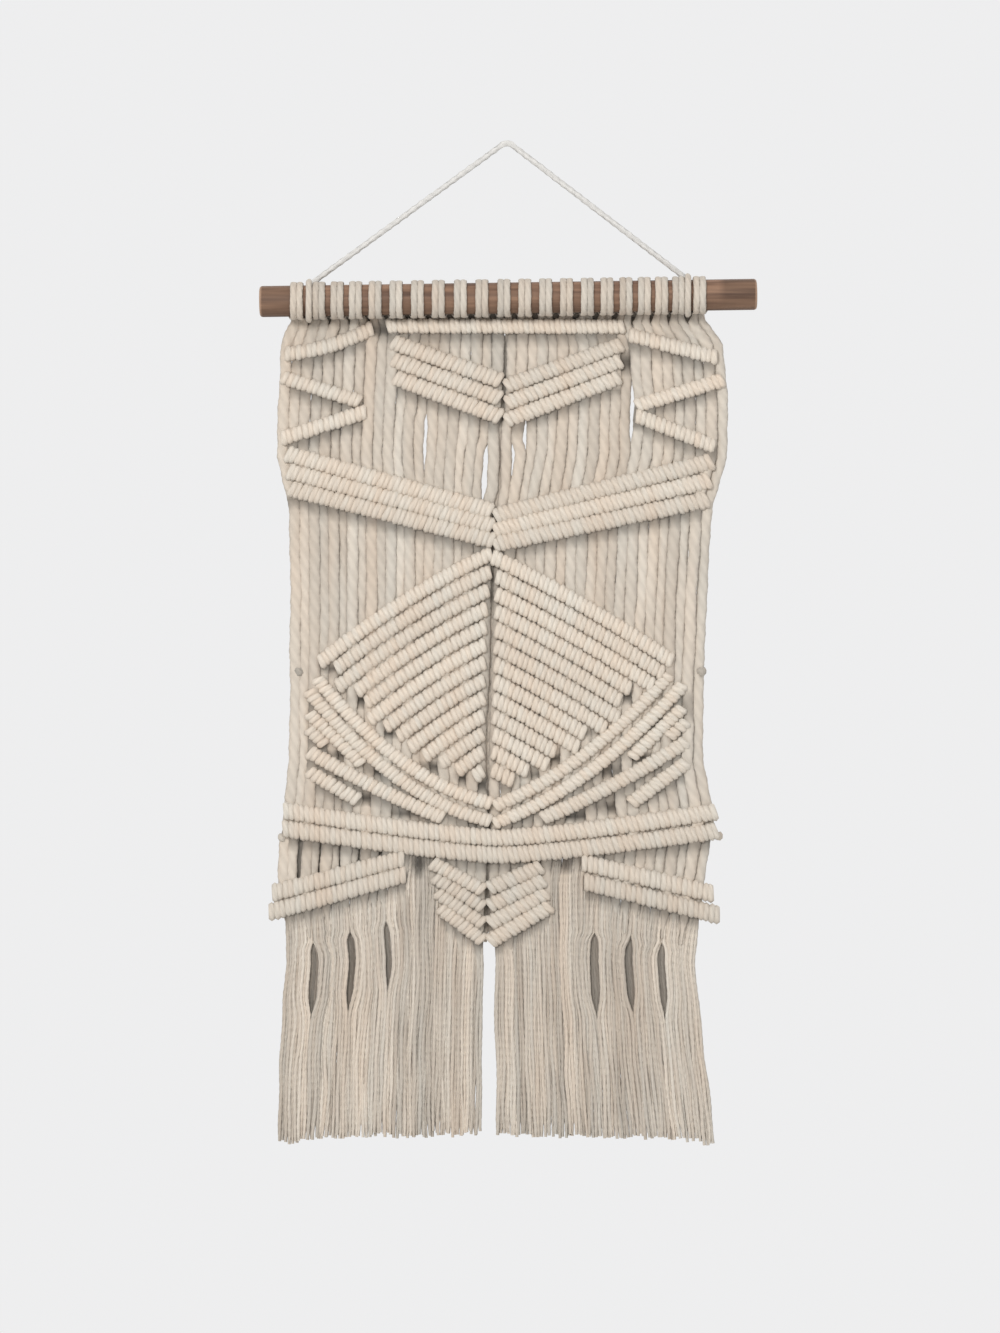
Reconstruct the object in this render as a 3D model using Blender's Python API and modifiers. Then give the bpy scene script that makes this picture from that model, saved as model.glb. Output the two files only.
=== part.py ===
"""Macrame wall hanging on a wooden dowel, held up by one cord over a nail.

Tables are in millimetres and everything built is in metres. +X is to the right as seen, +Y goes
into the wall and +Z is up. The origin is the hanging point, the middle of the hanger cord where it
bends over the nail. The strands hang in the plane y = 0, behind the middle of the dowel.
"""
import math

import bmesh
import bpy
from mathutils import Vector

MM = 0.001
GAP = 0.3  # between pieces that touch

# Dowel
DOWEL_RADIUS = 12.7
DOWEL_LENGTH = 406.0
DOWEL_CENTRE_X = 1.0
DOWEL_CENTRE_Z = -128.0
DOWEL_RISE = math.radians(0.84)  # its right end hangs a little higher
DOWEL_EDGE = 2.5

# Cord
CORD_WIDTH = 5.0
DOWEL_Y = -(DOWEL_RADIUS + GAP + CORD_WIDTH / 2)

# Hanger cord, from the left hitch over the hanging point to the right hitch
HITCH_X = (-162.5, 148.5)
HITCH_SIDES = 16
HANGER_FOOT_RISE = 13.8  # from the dowel's axis to where the free cord starts, behind its top
HANGER_BEND = 7.0  # radius of the cord's middle line over the nail
HANGER_POINTS = 45

# Lark's heads, as the places of their middles along the dowel
HEAD_X = (
    -171.5, -153.5, -138.5, -123.5, -107.5, -90.5, -73.0, -56.0, -38.0, -20.5, -2.5,
    14.5, 31.5, 48.5, 65.5, 81.5, 97.0, 112.0, 126.0, 140.0, 157.0,
)
HEAD_WIDTH = 10.0
HEAD_SIDES = 8
HEAD_BAR_TOP = -1.0  # the bar across the back, from the dowel's axis
HEAD_BAR_FOOT = -7.0
HEAD_BAR_DEPTH = 4.5
HEAD_TAIL_FOOT = -15.0

# Knotted rows
ROW_HALF = 4.6  # half the height of a row, across it
ROW_DEPTH = 7.0
VALLEY_DEPTH = 3.0  # depth of the cords between two rows

# name, rows, first row's inner x, z and outer x, z, last row's inner x, z and outer x, z,
# how far the first and the last row bow downwards, fullness of the bow (2 is round, 1 is pointed), steps
BANDS = (
    ("top_row", 1, (-99.0, -150.0, 96.0, -150.5), None, (0, 0), 2.0, 1),
    ("zigzag_left_1", 1, (-108.0, -151.0, -182.0, -173.0), None, (4, 4), 2.0, 4),
    ("zigzag_left_2", 1, (-120.0, -212.0, -184.0, -192.0), None, (0, 0), 2.0, 1),
    ("zigzag_left_3", 1, (-115.0, -222.5, -185.0, -242.5), None, (0, 0), 2.0, 1),
    ("zigzag_right_1", 1, (100.0, -157.0, 172.0, -176.0), None, (0, 0), 2.0, 1),
    ("zigzag_right_2", 1, (106.0, -213.0, 177.5, -192.5), None, (0, 0), 2.0, 1),
    ("zigzag_right_3", 1, (105.5, -224.0, 170.5, -249.0), None, (0, 0), 2.0, 1),
    ("wing_left", 3, (-5.0, -195.0, -94.5, -163.0), (-5.0, -224.5, -92.5, -192.0), (0, 0), 2.0, 1),
    ("wing_right", 3, (-1.0, -199.5, 94.5, -165.0), (-1.0, -227.5, 92.0, -192.0), (0, 0), 2.0, 1),
    ("vee_left", 3, (-13.0, -302.0, -181.0, -254.5), (-13.0, -325.5, -178.0, -283.0), (0, 0), 2.0, 1),
    ("vee_right", 3, (-9.0, -306.0, 168.0, -261.0), (-9.0, -328.5, 165.0, -292.0), (0, 0), 2.0, 1),
    ("diamond_left", 13, (-13.5, -338.0, -154.0, -426.5), (-17.0, -511.0, -27.0, -520.0), (-6, 0), 2.0, 3),
    ("diamond_right", 13, (-9.0, -342.0, 135.5, -425.0), (-13.0, -512.5, 5.5, -523.0), (-3, 0), 2.0, 2),
    ("lower_edge_left", 2, (-13.0, -541.0, -156.5, -438.0),
     (-13.0, -555.5, -163.0, -448.5), (18, 19), 2.0, 6),
    ("lower_edge_right", 2, (-10.5, -543.5, 133.5, -435.5), (-10.5, -557.5, 145.0, -443.0), (13, 15), 2.0, 6),
    ("fan_left", 2, (-119.0, -509.0, -162.5, -467.0), (-149.0, -493.0, -162.5, -480.0), (0, 0), 2.0, 1),
    ("fan_right", 2, (102.0, -503.5, 149.5, -457.5), (132.0, -487.0, 149.5, -472.5), (0, 0), 2.0, 1),
    ("crescent_left", 1, (-52.0, -553.0, -162.5, -498.5), None, (2.5, 2.5), 2.0, 3),
    ("crescent_right", 1, (28.5, -553.5, 147.0, -490.5), None, (3.5, 3.5), 2.0, 3),
    ("short_crescent_left", 1, (-122.0, -538.5, -162.5, -515.0), None, (0, 0), 2.0, 1),
    ("short_crescent_right", 1, (101.5, -541.0, 147.5, -507.5), None, (0, 0), 2.0, 1),
    ("sash", 2, (171.5, -548.0, -183.5, -547.0), (173.0, -563.5, -183.5, -561.5), (22, 21), 1.3, 8),
    ("low_diagonal_left", 2, (-84.5, -586.0, -192.5, -615.0),
     (-83.0, -599.0, -195.0, -630.5), (0, 0), 2.0, 1),
    ("low_diagonal_right", 2, (61.5, -589.5, 169.5, -615.5), (63.0, -605.0, 174.5, -633.0), (0, 0), 2.0, 1),
    ("point_left", 4, (-19.5, -612.5, -62.0, -589.5), (-19.5, -653.5, -55.0, -626.5), (0, 0), 2.0, 1),
    ("point_right", 4, (-15.0, -611.0, 28.5, -593.0), (-15.0, -654.5, 35.5, -625.0), (0, 0), 2.0, 1),
)

# How far the middle rows of a band reach beyond the straight outer edge between its first and last row
OUTER_SWELL = {"diamond_left": 9.0, "diamond_right": 8.0}

# Outline of the hanging cords: height, left edge, end of the left half, start of the right half, right edge
OUTLINE = (
    (-145.0, -177.0, -3.5, 0.0, 161.5),
    (-165.5, -184.5, -3.5, 0.0, 176.5),
    (-210.5, -187.0, -4.0, -1.0, 181.0),
    (-256.0, -188.5, -7.5, -4.0, 180.5),
    (-297.0, -178.0, -12.5, -9.0, 168.0),
    (-342.0, -177.0, -13.0, -10.0, 165.0),
    (-440.5, -177.0, -15.5, -12.5, 160.5),
    (-506.0, -178.0, -18.0, -15.0, 160.5),
    (-555.0, -183.0, -16.5, -13.0, 169.5),
    (-604.5, -186.0, -18.0, -15.0, 161.5),
    (-670.0, -178.0, -20.5, -9.0, 152.5),
    (-752.0, -185.5, -22.0, -8.0, 159.0),
    (-817.5, -188.0, -21.5, -7.5, 165.0),
)
PAIRED_ABOVE = -147.0  # where the strands still hang in the pairs that their heads give them
EVEN_BELOW = -165.0  # where they have spread to their own columns

# Strands, two from each head down to the end of the fringe
STRANDS_PER_HALF = 21
STRAND_WIDTH = 5.4
PAIRED_WIDTH = 4.4
STRAND_DEPTH = 4.0
HEAD_OVERLAP = 3.0
SHORTEST_SECTION = 3.0
STRAIGHT_WITHIN = 0.2

# Fringe
FRINGE_FOOT = -812.5
FRINGE_CORNER_DROP = 6.5  # the outer strands hang this much lower
FRINGE_UNEVEN = 1.2
FRINGE_LEVELS = (-635.0, -648.0, -665.0, -692.0, -712.0, -752.0)  # where its strands may bend
# Long openings between its strands: strand on the left, top z, foot z, width
SLOTS = (
    (10, -641.0, -692.0, 5.0),
    (6, -649.5, -707.5, 5.0),
    (2, -658.5, -711.0, 5.5),
    (31, -648.5, -696.0, 5.0),
    (35, -654.5, -706.0, 5.5),
    (38, -658.5, -711.0, 5.5),
)
SLOT_REACH = 2.5  # how many strands on each side give way
SLOT_FADE = 14.0  # how far above and below it they do

WOOD = ("dowel_wood", (0.235, 0.128, 0.075), 0.55)
COTTON = ("cotton_cord", (0.62, 0.54, 0.45), 0.95)
HANGER_COTTON = ("hanger_cord_cotton", (0.66, 0.64, 0.60), 0.95)


def clear_scene():
    for leftover in list(bpy.data.objects):
        bpy.data.objects.remove(leftover, do_unlink=True)


def make_material(name, colour, roughness):
    material = bpy.data.materials.new(name)
    material.use_nodes = True
    shader = material.node_tree.nodes["Principled BSDF"]
    shader.inputs["Base Color"].default_value = (*colour, 1.0)
    shader.inputs["Roughness"].default_value = roughness
    shader.inputs["Metallic"].default_value = 0.0
    return material


def link(item, collection, material):
    collection.objects.link(item)
    item.data.materials.append(material)
    return item


def mix(a, b, share):
    return a + (b - a) * share


def smooth_step(share):
    share = min(1.0, max(0.0, share))
    return share * share * (3.0 - 2.0 * share)


def dowel_height(x):
    return DOWEL_CENTRE_Z + (x - DOWEL_CENTRE_X) * math.tan(DOWEL_RISE)


# Dowel, heads and hanger


def add_dowel(collection, material):
    bpy.ops.mesh.primitive_cylinder_add(
        vertices=48, radius=DOWEL_RADIUS * MM, depth=DOWEL_LENGTH * MM
    )
    dowel = bpy.context.active_object
    dowel.name = "dowel"
    for holder in list(dowel.users_collection):
        holder.objects.unlink(dowel)
    link(dowel, collection, material)
    dowel.location = Vector((DOWEL_CENTRE_X, DOWEL_Y, DOWEL_CENTRE_Z)) * MM
    dowel.rotation_euler = (0.0, math.pi / 2 - DOWEL_RISE, 0.0)
    edge = dowel.modifiers.new("rounded_ends", "BEVEL")
    edge.width = DOWEL_EDGE * MM
    edge.segments = 3
    edge.limit_method = "ANGLE"
    dowel.data.shade_smooth()
    dowel.data.set_sharp_from_angle(angle=math.radians(40))


def add_spline(curve, points):
    spline = curve.splines.new("POLY")
    spline.points.add(len(points) - 1)
    for place, (x, y) in zip(spline.points, points):
        place.co = (x * MM, y * MM, 0.0, 1.0)
    spline.use_cyclic_u = True


def flat_outline(name, outlines, thickness):
    curve = bpy.data.curves.new(name, "CURVE")
    curve.dimensions = "2D"
    curve.fill_mode = "BOTH"
    curve.extrude = thickness / 2 * MM
    for points in outlines:
        add_spline(curve, points)
    return curve


def solid_from_curve(curve):
    """A filled curve as a mesh with its caps welded on."""
    holder = bpy.data.objects.new(curve.name, curve)
    bpy.context.scene.collection.objects.link(holder)
    mesh = bpy.data.meshes.new_from_object(holder.evaluated_get(bpy.context.evaluated_depsgraph_get()))
    bpy.data.objects.remove(holder, do_unlink=True)
    form = bmesh.new()
    form.from_mesh(mesh)
    bmesh.ops.remove_doubles(form, verts=form.verts, dist=0.01 * MM)
    form.to_mesh(mesh)
    form.free()
    return mesh


def head_outline():
    """Side view of a lark's head: its ring round the dowel, the bar at its back and its two ends."""
    outer = DOWEL_RADIUS + GAP + CORD_WIDTH
    inner = (DOWEL_RADIUS + GAP) / math.cos(math.pi / HEAD_SIDES)
    tail_back = outer
    tail_front = outer - CORD_WIDTH
    join = math.asin(math.sqrt(outer**2 - tail_front**2) / outer)
    turn = 2 * math.pi - join
    ring = [
        (outer * math.cos(turn * step / HEAD_SIDES), outer * math.sin(turn * step / HEAD_SIDES))
        for step in range(HEAD_SIDES + 1)
    ]
    tail = [(tail_front, HEAD_TAIL_FOOT), (tail_back, HEAD_TAIL_FOOT)]
    bar = [
        (tail_back, HEAD_BAR_FOOT),
        (tail_back + HEAD_BAR_DEPTH, HEAD_BAR_FOOT),
        (tail_back + HEAD_BAR_DEPTH, HEAD_BAR_TOP),
        (tail_back, HEAD_BAR_TOP),
    ]
    hole = [
        (inner * math.cos(2 * math.pi * step / HEAD_SIDES), inner * math.sin(2 * math.pi * step / HEAD_SIDES))
        for step in range(HEAD_SIDES)
    ]
    return ring + tail + bar, hole


def add_hitches(collection, material):
    for name, x in zip(("hanger_hitch_left", "hanger_hitch_right"), HITCH_X):
        bpy.ops.mesh.primitive_torus_add(
            major_segments=HITCH_SIDES,
            minor_segments=8,
            major_radius=(DOWEL_RADIUS + GAP + CORD_WIDTH / 2) / math.cos(math.pi / HITCH_SIDES) * MM,
            minor_radius=CORD_WIDTH / 2 * MM,
        )
        hitch = bpy.context.active_object
        hitch.name = name
        for holder in list(hitch.users_collection):
            holder.objects.unlink(hitch)
        link(hitch, collection, material)
        hitch.location = Vector((x, DOWEL_Y, dowel_height(x))) * MM
        hitch.rotation_euler = (0.0, math.pi / 2 - DOWEL_RISE, 0.0)


def hanger_route():
    """Straight from each hitch, with a round bend over the nail."""
    left, right = (Vector((x, 0.0, dowel_height(x) + HANGER_FOOT_RISE)) for x in HITCH_X)
    centre = Vector((0.0, 0.0, -HANGER_BEND))
    turn_left = math.atan2(centre.z - left.z, centre.x - left.x)
    turn_right = math.atan2(centre.z - right.z, right.x - centre.x)
    arc = []
    for step in range(9):
        angle = mix(math.pi / 2 + turn_left, math.pi / 2 - turn_right, step / 8)
        arc.append(centre + HANGER_BEND * Vector((math.cos(angle), 0.0, math.sin(angle))))
    straight = (HANGER_POINTS - len(arc)) // 2
    rise = [left.lerp(arc[0], step / straight) for step in range(straight)]
    fall = [arc[-1].lerp(right, step / straight) for step in range(1, straight + 1)]
    return rise + arc + fall


def add_hanger(collection, material):
    curve = bpy.data.curves.new("hanger_cord", "CURVE")
    curve.dimensions = "3D"
    curve.bevel_depth = CORD_WIDTH / 2 * MM
    curve.bevel_resolution = 2
    curve.use_fill_caps = True
    route = hanger_route()
    spline = curve.splines.new("POLY")
    spline.points.add(len(route) - 1)
    for place, point in zip(spline.points, route):
        place.co = (*(point * MM), 1.0)
    link(bpy.data.objects.new("hanger_cord", curve), collection, material)


# Knotted rows


def row_ends(band, row):
    """Inner x, z and outer x, z of a row, and its bow."""
    name, rows, first, last, bows, _, _ = band
    share = row / (rows - 1) if rows > 1 else 0.0
    inner_x, inner_z, outer_x, outer_z = (mix(a, b, share) for a, b in zip(first, last or first))
    swell = OUTER_SWELL.get(name, 0.0) * (1.0 - (2.0 * share - 1.0) ** 2) / abs(outer_x - inner_x)
    ends = (inner_x, inner_z, mix(inner_x, outer_x, 1.0 + swell), mix(inner_z, outer_z, 1.0 + swell))
    return ends, mix(bows[0], bows[1], share)


def row_point(band, row, along):
    """Place on the middle of a row, from its inner end at 0 to its outer end at 1."""
    (inner_x, inner_z, outer_x, outer_z), bow = row_ends(band, row)
    drop = bow * (1.0 - abs(2.0 * along - 1.0) ** band[5])
    return Vector((mix(inner_x, outer_x, along), mix(inner_z, outer_z, along) - drop))


def upright_share(band, row, along):
    """How much taller a row is when measured upright than when measured across its course."""
    step = 0.02
    before = row_point(band, row, max(0.0, along - step))
    after = row_point(band, row, min(1.0, along + step))
    course = after - before
    return course.length / abs(course.x)


def band_lines(band):
    """Lines along a band, crests and valleys in turn, each a list of places with half the depth there."""
    _, rows, _, _, _, _, steps = band
    courses = []
    for row in range(rows):
        courses.append([])
        for station in range(steps + 1):
            along = station / steps
            place = row_point(band, row, along)
            courses[-1].append((place.x, place.y, ROW_HALF * upright_share(band, row, along)))
    lines = [[(x, z + half, VALLEY_DEPTH) for x, z, half in courses[0]]]
    for course, following in zip(courses, courses[1:] + courses[-1:]):
        lines.append([(x, z, ROW_DEPTH) for x, z, _ in course])
        if following is not course:
            between = zip(course, following)
            lines.append([((a[0] + b[0]) / 2, (a[1] + b[1]) / 2, VALLEY_DEPTH) for a, b in between])
    lines.append([(x, z - half, VALLEY_DEPTH) for x, z, half in courses[-1]])
    return lines


def add_band(band, collection, material):
    """A band of rows in front of the hanging cords, flat at its back."""
    lines = band_lines(band)
    back_y = -(STRAND_DEPTH / 2 + GAP)
    form = bmesh.new()
    front = []
    back = []
    for line in lines:
        front.append([form.verts.new((x * MM, (back_y - depth) * MM, z * MM)) for x, z, depth in line])
        back.append([form.verts.new((x * MM, back_y * MM, z * MM)) for x, z, _ in line])
    last = len(lines[0]) - 1
    for side in (front, back):
        for upper, lower in zip(side, side[1:]):
            for a, b, c, d in zip(upper, upper[1:], lower[1:], lower):
                form.faces.new((a, b, c, d))
    for edge in (0, len(lines) - 1):
        for a, b, c, d in zip(front[edge], front[edge][1:], back[edge][1:], back[edge]):
            form.faces.new((a, b, c, d))
    for end in (0, last):
        rim = [(front[place][end], back[place][end]) for place in range(len(lines))]
        for (a, b), (d, c) in zip(rim, rim[1:]):
            form.faces.new((a, b, c, d))
    bmesh.ops.recalc_face_normals(form, faces=form.faces)
    mesh = bpy.data.meshes.new(band[0])
    form.to_mesh(mesh)
    form.free()
    link(bpy.data.objects.new(band[0], mesh), collection, material)


# Hanging cords


def outline_at(z):
    if z >= OUTLINE[0][0]:
        return OUTLINE[0][1:]
    for upper, lower in zip(OUTLINE, OUTLINE[1:]):
        if z >= lower[0]:
            share = (upper[0] - z) / (upper[0] - lower[0])
            return tuple(mix(a, b, share) for a, b in zip(upper[1:], lower[1:]))
    return OUTLINE[-1][1:]


def even_x(column, z):
    left, left_end, right_start, right = outline_at(z)
    half, place = divmod(column, STRANDS_PER_HALF)
    start, end = (left, left_end) if half == 0 else (right_start, right)
    return mix(start, end, (place + 0.5) / STRANDS_PER_HALF)


def spread(z):
    """0 where the cords hang in the pairs that their heads give them, 1 in their own columns."""
    return smooth_step((PAIRED_ABOVE - z) / (PAIRED_ABOVE - EVEN_BELOW))


def half_width(z):
    return mix(PAIRED_WIDTH, STRAND_WIDTH, spread(z)) / 2


def slot_shift(column, z):
    """How far a cord gives way beside the long openings of the fringe."""
    shift = 0.0
    for left_column, top_z, foot_z, width in SLOTS:
        opened = smooth_step((top_z + SLOT_FADE - z) / SLOT_FADE)
        opened *= smooth_step((z - foot_z + SLOT_FADE) / SLOT_FADE)
        distance = column - left_column - 0.5
        near = max(0.0, 1.0 - (abs(distance) - 0.5) / SLOT_REACH)
        widening = (width - even_x(left_column + 1, z) + even_x(left_column, z) + STRAND_WIDTH) / 2
        shift += math.copysign(widening, distance) * near * opened
    return shift


def strand_x(column, z):
    """Middle of a hanging strand at a height, the strands counted from the left."""
    head, strand = divmod(column, 2)
    paired = HEAD_X[head] + (strand - 0.5) * CORD_WIDTH
    return mix(paired, even_x(column, z), spread(z)) + slot_shift(column, z)


def strand_foot(column):
    side = abs(column + 0.5 - STRANDS_PER_HALF) / STRANDS_PER_HALF
    return FRINGE_FOOT - FRINGE_CORNER_DROP * side**4 - FRINGE_UNEVEN * math.sin(column * 2.4)


def strand_levels(column):
    """Heights where a strand has a section, leaving out those where it is as good as straight."""
    top = dowel_height(HEAD_X[column // 2]) + HEAD_TAIL_FOOT + HEAD_OVERLAP
    heights = [row[0] for row in OUTLINE] + list(FRINGE_LEVELS) + [EVEN_BELOW]
    foot = strand_foot(column)
    waiting = [z for z in heights if foot + SHORTEST_SECTION < z < top - SHORTEST_SECTION]
    waiting.sort(reverse=True)
    levels = [top]
    for place, z in enumerate(waiting):
        after = waiting[place + 1] if place + 1 < len(waiting) else foot
        share = (levels[-1] - z) / (levels[-1] - after)
        straight = mix(strand_x(column, levels[-1]), strand_x(column, after), share)
        if abs(straight - strand_x(column, z)) > STRAIGHT_WITHIN:
            levels.append(z)
    return levels + [foot]


def add_strands(name, columns, collection):
    """The two strands of a cord, each a row of four-sided sections."""
    form = bmesh.new()
    for column in columns:
        sections = []
        for z in strand_levels(column):
            x = strand_x(column, z)
            across = half_width(z)
            deep = STRAND_DEPTH / 2
            corners = ((x - across, -deep), (x + across, -deep), (x + across, deep), (x - across, deep))
            sections.append([form.verts.new((a * MM, y * MM, z * MM)) for a, y in corners])
        form.faces.new(sections[0])
        form.faces.new(sections[-1])
        for section, following in zip(sections, sections[1:]):
            for corner in range(4):
                after = (corner + 1) % 4
                form.faces.new((section[corner], section[after], following[after], following[corner]))
    bmesh.ops.recalc_face_normals(form, faces=form.faces)
    mesh = bpy.data.meshes.new(name)
    form.to_mesh(mesh)
    form.free()
    strands = bpy.data.objects.new(name, mesh)
    collection.objects.link(strands)
    strands.hide_render = True
    strands.display_type = "WIRE"
    return strands


def add_cords(collection, guides, material):
    """Each cord: its lark's head on the dowel and the two strands that hang from it."""
    shape = solid_from_curve(flat_outline("larks_head", head_outline(), HEAD_WIDTH))
    shape.materials.append(material)
    for number, x in enumerate(HEAD_X):
        cord = bpy.data.objects.new(f"cord_{number + 1:02d}", shape)
        collection.objects.link(cord)
        cord.location = Vector((x, DOWEL_Y, dowel_height(x))) * MM
        cord.rotation_euler = (math.pi / 2, 0.0, math.pi / 2)
        strands = add_strands(f"strands_{number + 1:02d}", (2 * number, 2 * number + 1), guides)
        union = cord.modifiers.new("strands", "BOOLEAN")
        union.operation = "UNION"
        union.solver = "EXACT"
        union.object = strands


def main():
    clear_scene()
    parts = bpy.data.collections.new("macrame_wall_hanging")
    guides = bpy.data.collections.new("guides")
    bpy.context.scene.collection.children.link(parts)
    bpy.context.scene.collection.children.link(guides)
    cotton = make_material(*COTTON)
    hanger_cotton = make_material(*HANGER_COTTON)
    add_dowel(parts, make_material(*WOOD))
    add_hitches(parts, hanger_cotton)
    add_hanger(parts, hanger_cotton)
    add_cords(parts, guides, cotton)
    for band in BANDS:
        add_band(band, parts, cotton)


main()
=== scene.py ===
"""Macrame wall hanging: twenty-one folded cords on a dowel, knotted in rows over a long fringe."""

import functools
import math
import random

import bpy
from bpy.props import FloatProperty, FloatVectorProperty, IntProperty, PointerProperty
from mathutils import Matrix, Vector


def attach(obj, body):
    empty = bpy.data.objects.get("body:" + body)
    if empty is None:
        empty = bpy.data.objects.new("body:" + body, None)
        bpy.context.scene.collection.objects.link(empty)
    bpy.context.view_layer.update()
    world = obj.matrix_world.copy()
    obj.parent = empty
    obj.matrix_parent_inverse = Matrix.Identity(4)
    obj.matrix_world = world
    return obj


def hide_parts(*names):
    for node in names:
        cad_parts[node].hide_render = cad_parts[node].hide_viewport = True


bl_info = {
    "name": "Macrame Wall Hanging",
    "version": (1, 0, 0),
    "blender": (4, 5, 0),
    "location": "3D View > Sidebar > Macrame",
    "description": "Builds the cords, knotted rows, fringe and stage of a macrame wall hanging",
    "category": "Object",
}

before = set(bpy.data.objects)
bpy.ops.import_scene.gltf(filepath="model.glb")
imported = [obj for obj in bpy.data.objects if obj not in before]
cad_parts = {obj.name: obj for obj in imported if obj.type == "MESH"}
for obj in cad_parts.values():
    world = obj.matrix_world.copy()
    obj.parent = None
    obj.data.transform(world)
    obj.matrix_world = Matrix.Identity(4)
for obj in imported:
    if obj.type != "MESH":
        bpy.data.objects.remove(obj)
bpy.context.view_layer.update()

# The tables are in millimetres unless they say otherwise
MM = 0.001
TAU = 2 * math.pi
# Room between the dowel and the cord round it
GAP = 0.3

# Dowel, as its CAD node has it
DOWEL_RADIUS = 12.7
DOWEL_Y = -15.5
DOWEL_CENTRE = (1.0, -128.0)
DOWEL_RISE = math.radians(0.84)
DOWEL_HALF = 203.0

# Middles of the lark's heads along the dowel
HEAD_X = (
    -171.5, -153.5, -138.5, -123.5, -107.5, -90.5, -73.0, -56.0, -38.0, -20.5, -2.5,
    14.5, 31.5, 48.5, 65.5, 81.5, 97.0, 112.0, 126.0, 140.0, 157.0,
)
STRANDS = 2 * len(HEAD_X)
HALF_STRANDS = len(HEAD_X)

# Way of one strand through its lark's head, mirrored for the other: offset from the head's middle, y, height
# over the dowel's axis. It starts in the bar at the back and goes under the dowel.
HEAD_START = ((0.0, 4.7, -5.0), (3.0, 4.7, -5.1), (4.9, 3.8, -5.8), (5.5, 1.4, -7.6), (5.3, -2.2, -10.6))
# Then it goes round the dowel: angle from the back, under it and over it, and offset
HEAD_TURN = ((58, 4.4), (78, 3.4), (98, 2.7), (118, 2.6), *((degrees, 2.5) for degrees in range(140, 341, 20)))
HEAD_END = ((2.5, 0.0, -1.0), (2.5, 0.0, -6.0))

# Bands of knotted rows: group, rows, first row's inner x, z and outer x, z, last row's inner x, z and outer
# x, z, and how far the first and the last row bow downwards
ROWS = (
    ("rows_top", 1, (-99.0, -150.0, 96.0, -150.5), None, (0, 0)),
    ("rows_zigzag", 1, (-110.0, -151.5, -182.0, -173.0), None, (4, 4)),
    ("rows_zigzag", 1, (-120.0, -212.0, -184.0, -192.0), None, (0, 0)),
    ("rows_zigzag", 1, (-115.0, -220.0, -185.0, -242.5), None, (0, 0)),
    ("rows_zigzag", 1, (100.0, -157.0, 172.0, -176.0), None, (0, 0)),
    ("rows_zigzag", 1, (106.0, -215.5, 177.5, -194.0), None, (0, 0)),
    ("rows_zigzag", 1, (105.5, -223.0, 170.5, -249.0), None, (0, 0)),
    ("rows_wings", 3, (-5.0, -195.0, -94.5, -163.0), (-5.0, -224.5, -92.5, -192.0), (0, 0)),
    ("rows_wings", 3, (-1.0, -199.5, 94.5, -165.0), (-1.0, -227.5, 92.0, -192.0), (0, 0)),
    ("rows_vee", 3, (-11.9, -302.0, -181.0, -254.5), (-11.9, -325.5, -178.0, -283.0), (0, 0)),
    ("rows_vee", 3, (-10.2, -306.0, 168.0, -261.0), (-10.2, -328.5, 165.0, -292.0), (0, 0)),
    ("rows_diamond_left", 13, (-13.5, -336.8, -154.0, -426.5), (-17.0, -511.0, -27.0, -520.0), (-6, 0)),
    ("rows_diamond_right", 13, (-9.0, -340.4, 135.5, -425.0), (-13.0, -512.5, 5.5, -523.0), (-3, 0)),
    ("rows_lower_edge", 2, (-13.0, -541.0, -156.5, -438.0), (-13.0, -555.5, -163.0, -448.5), (18, 19)),
    ("rows_lower_edge", 2, (-10.5, -543.5, 133.5, -435.5), (-10.5, -557.5, 145.0, -443.0), (13, 15)),
    ("rows_fans", 2, (-119.0, -509.0, -162.5, -467.0), (-149.0, -493.0, -162.5, -480.0), (0, 0)),
    ("rows_fans", 2, (102.0, -503.5, 149.5, -457.5), (132.0, -487.0, 149.5, -472.5), (0, 0)),
    ("rows_crescents", 1, (-52.0, -553.0, -162.5, -498.5), None, (2.5, 2.5)),
    ("rows_crescents", 1, (28.5, -553.5, 147.0, -490.5), None, (3.5, 3.5)),
    ("rows_crescents", 1, (-122.0, -538.5, -162.5, -515.0), None, (0, 0)),
    ("rows_crescents", 1, (101.5, -541.0, 147.5, -507.5), None, (0, 0)),
    ("rows_sash", 2, (-183.5, -547.0, 171.5, -548.0), (-183.5, -561.5, 173.0, -563.5), (22, 21)),
    ("rows_diagonals", 2, (-84.5, -586.0, -192.5, -615.0), (-83.0, -599.0, -195.0, -630.5), (0, 0)),
    ("rows_diagonals", 2, (61.5, -589.5, 169.5, -615.5), (63.0, -605.0, 174.5, -633.0), (0, 0)),
    ("rows_points", 4, (-19.5, -612.5, -62.0, -589.5), (-19.5, -653.5, -55.0, -626.5), (0, 0)),
    ("rows_points", 4, (-15.0, -611.0, 28.5, -593.0), (-15.0, -654.5, 35.5, -625.0), (0, 0)),
)
# CAD nodes that each group stands for
ROW_NODES = {
    "rows_top": ("top_row",),
    "rows_zigzag": (
        "zigzag_left_1", "zigzag_left_2", "zigzag_left_3",
        "zigzag_right_1", "zigzag_right_2", "zigzag_right_3",
    ),
    "rows_wings": ("wing_left", "wing_right"),
    "rows_vee": ("vee_left", "vee_right"),
    "rows_diamond_left": ("diamond_left",),
    "rows_diamond_right": ("diamond_right",),
    "rows_lower_edge": ("lower_edge_left", "lower_edge_right"),
    "rows_fans": ("fan_left", "fan_right"),
    "rows_crescents": ("crescent_left", "crescent_right", "short_crescent_left", "short_crescent_right"),
    "rows_sash": ("sash",),
    "rows_diagonals": ("low_diagonal_left", "low_diagonal_right"),
    "rows_points": ("point_left", "point_right"),
}

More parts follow.
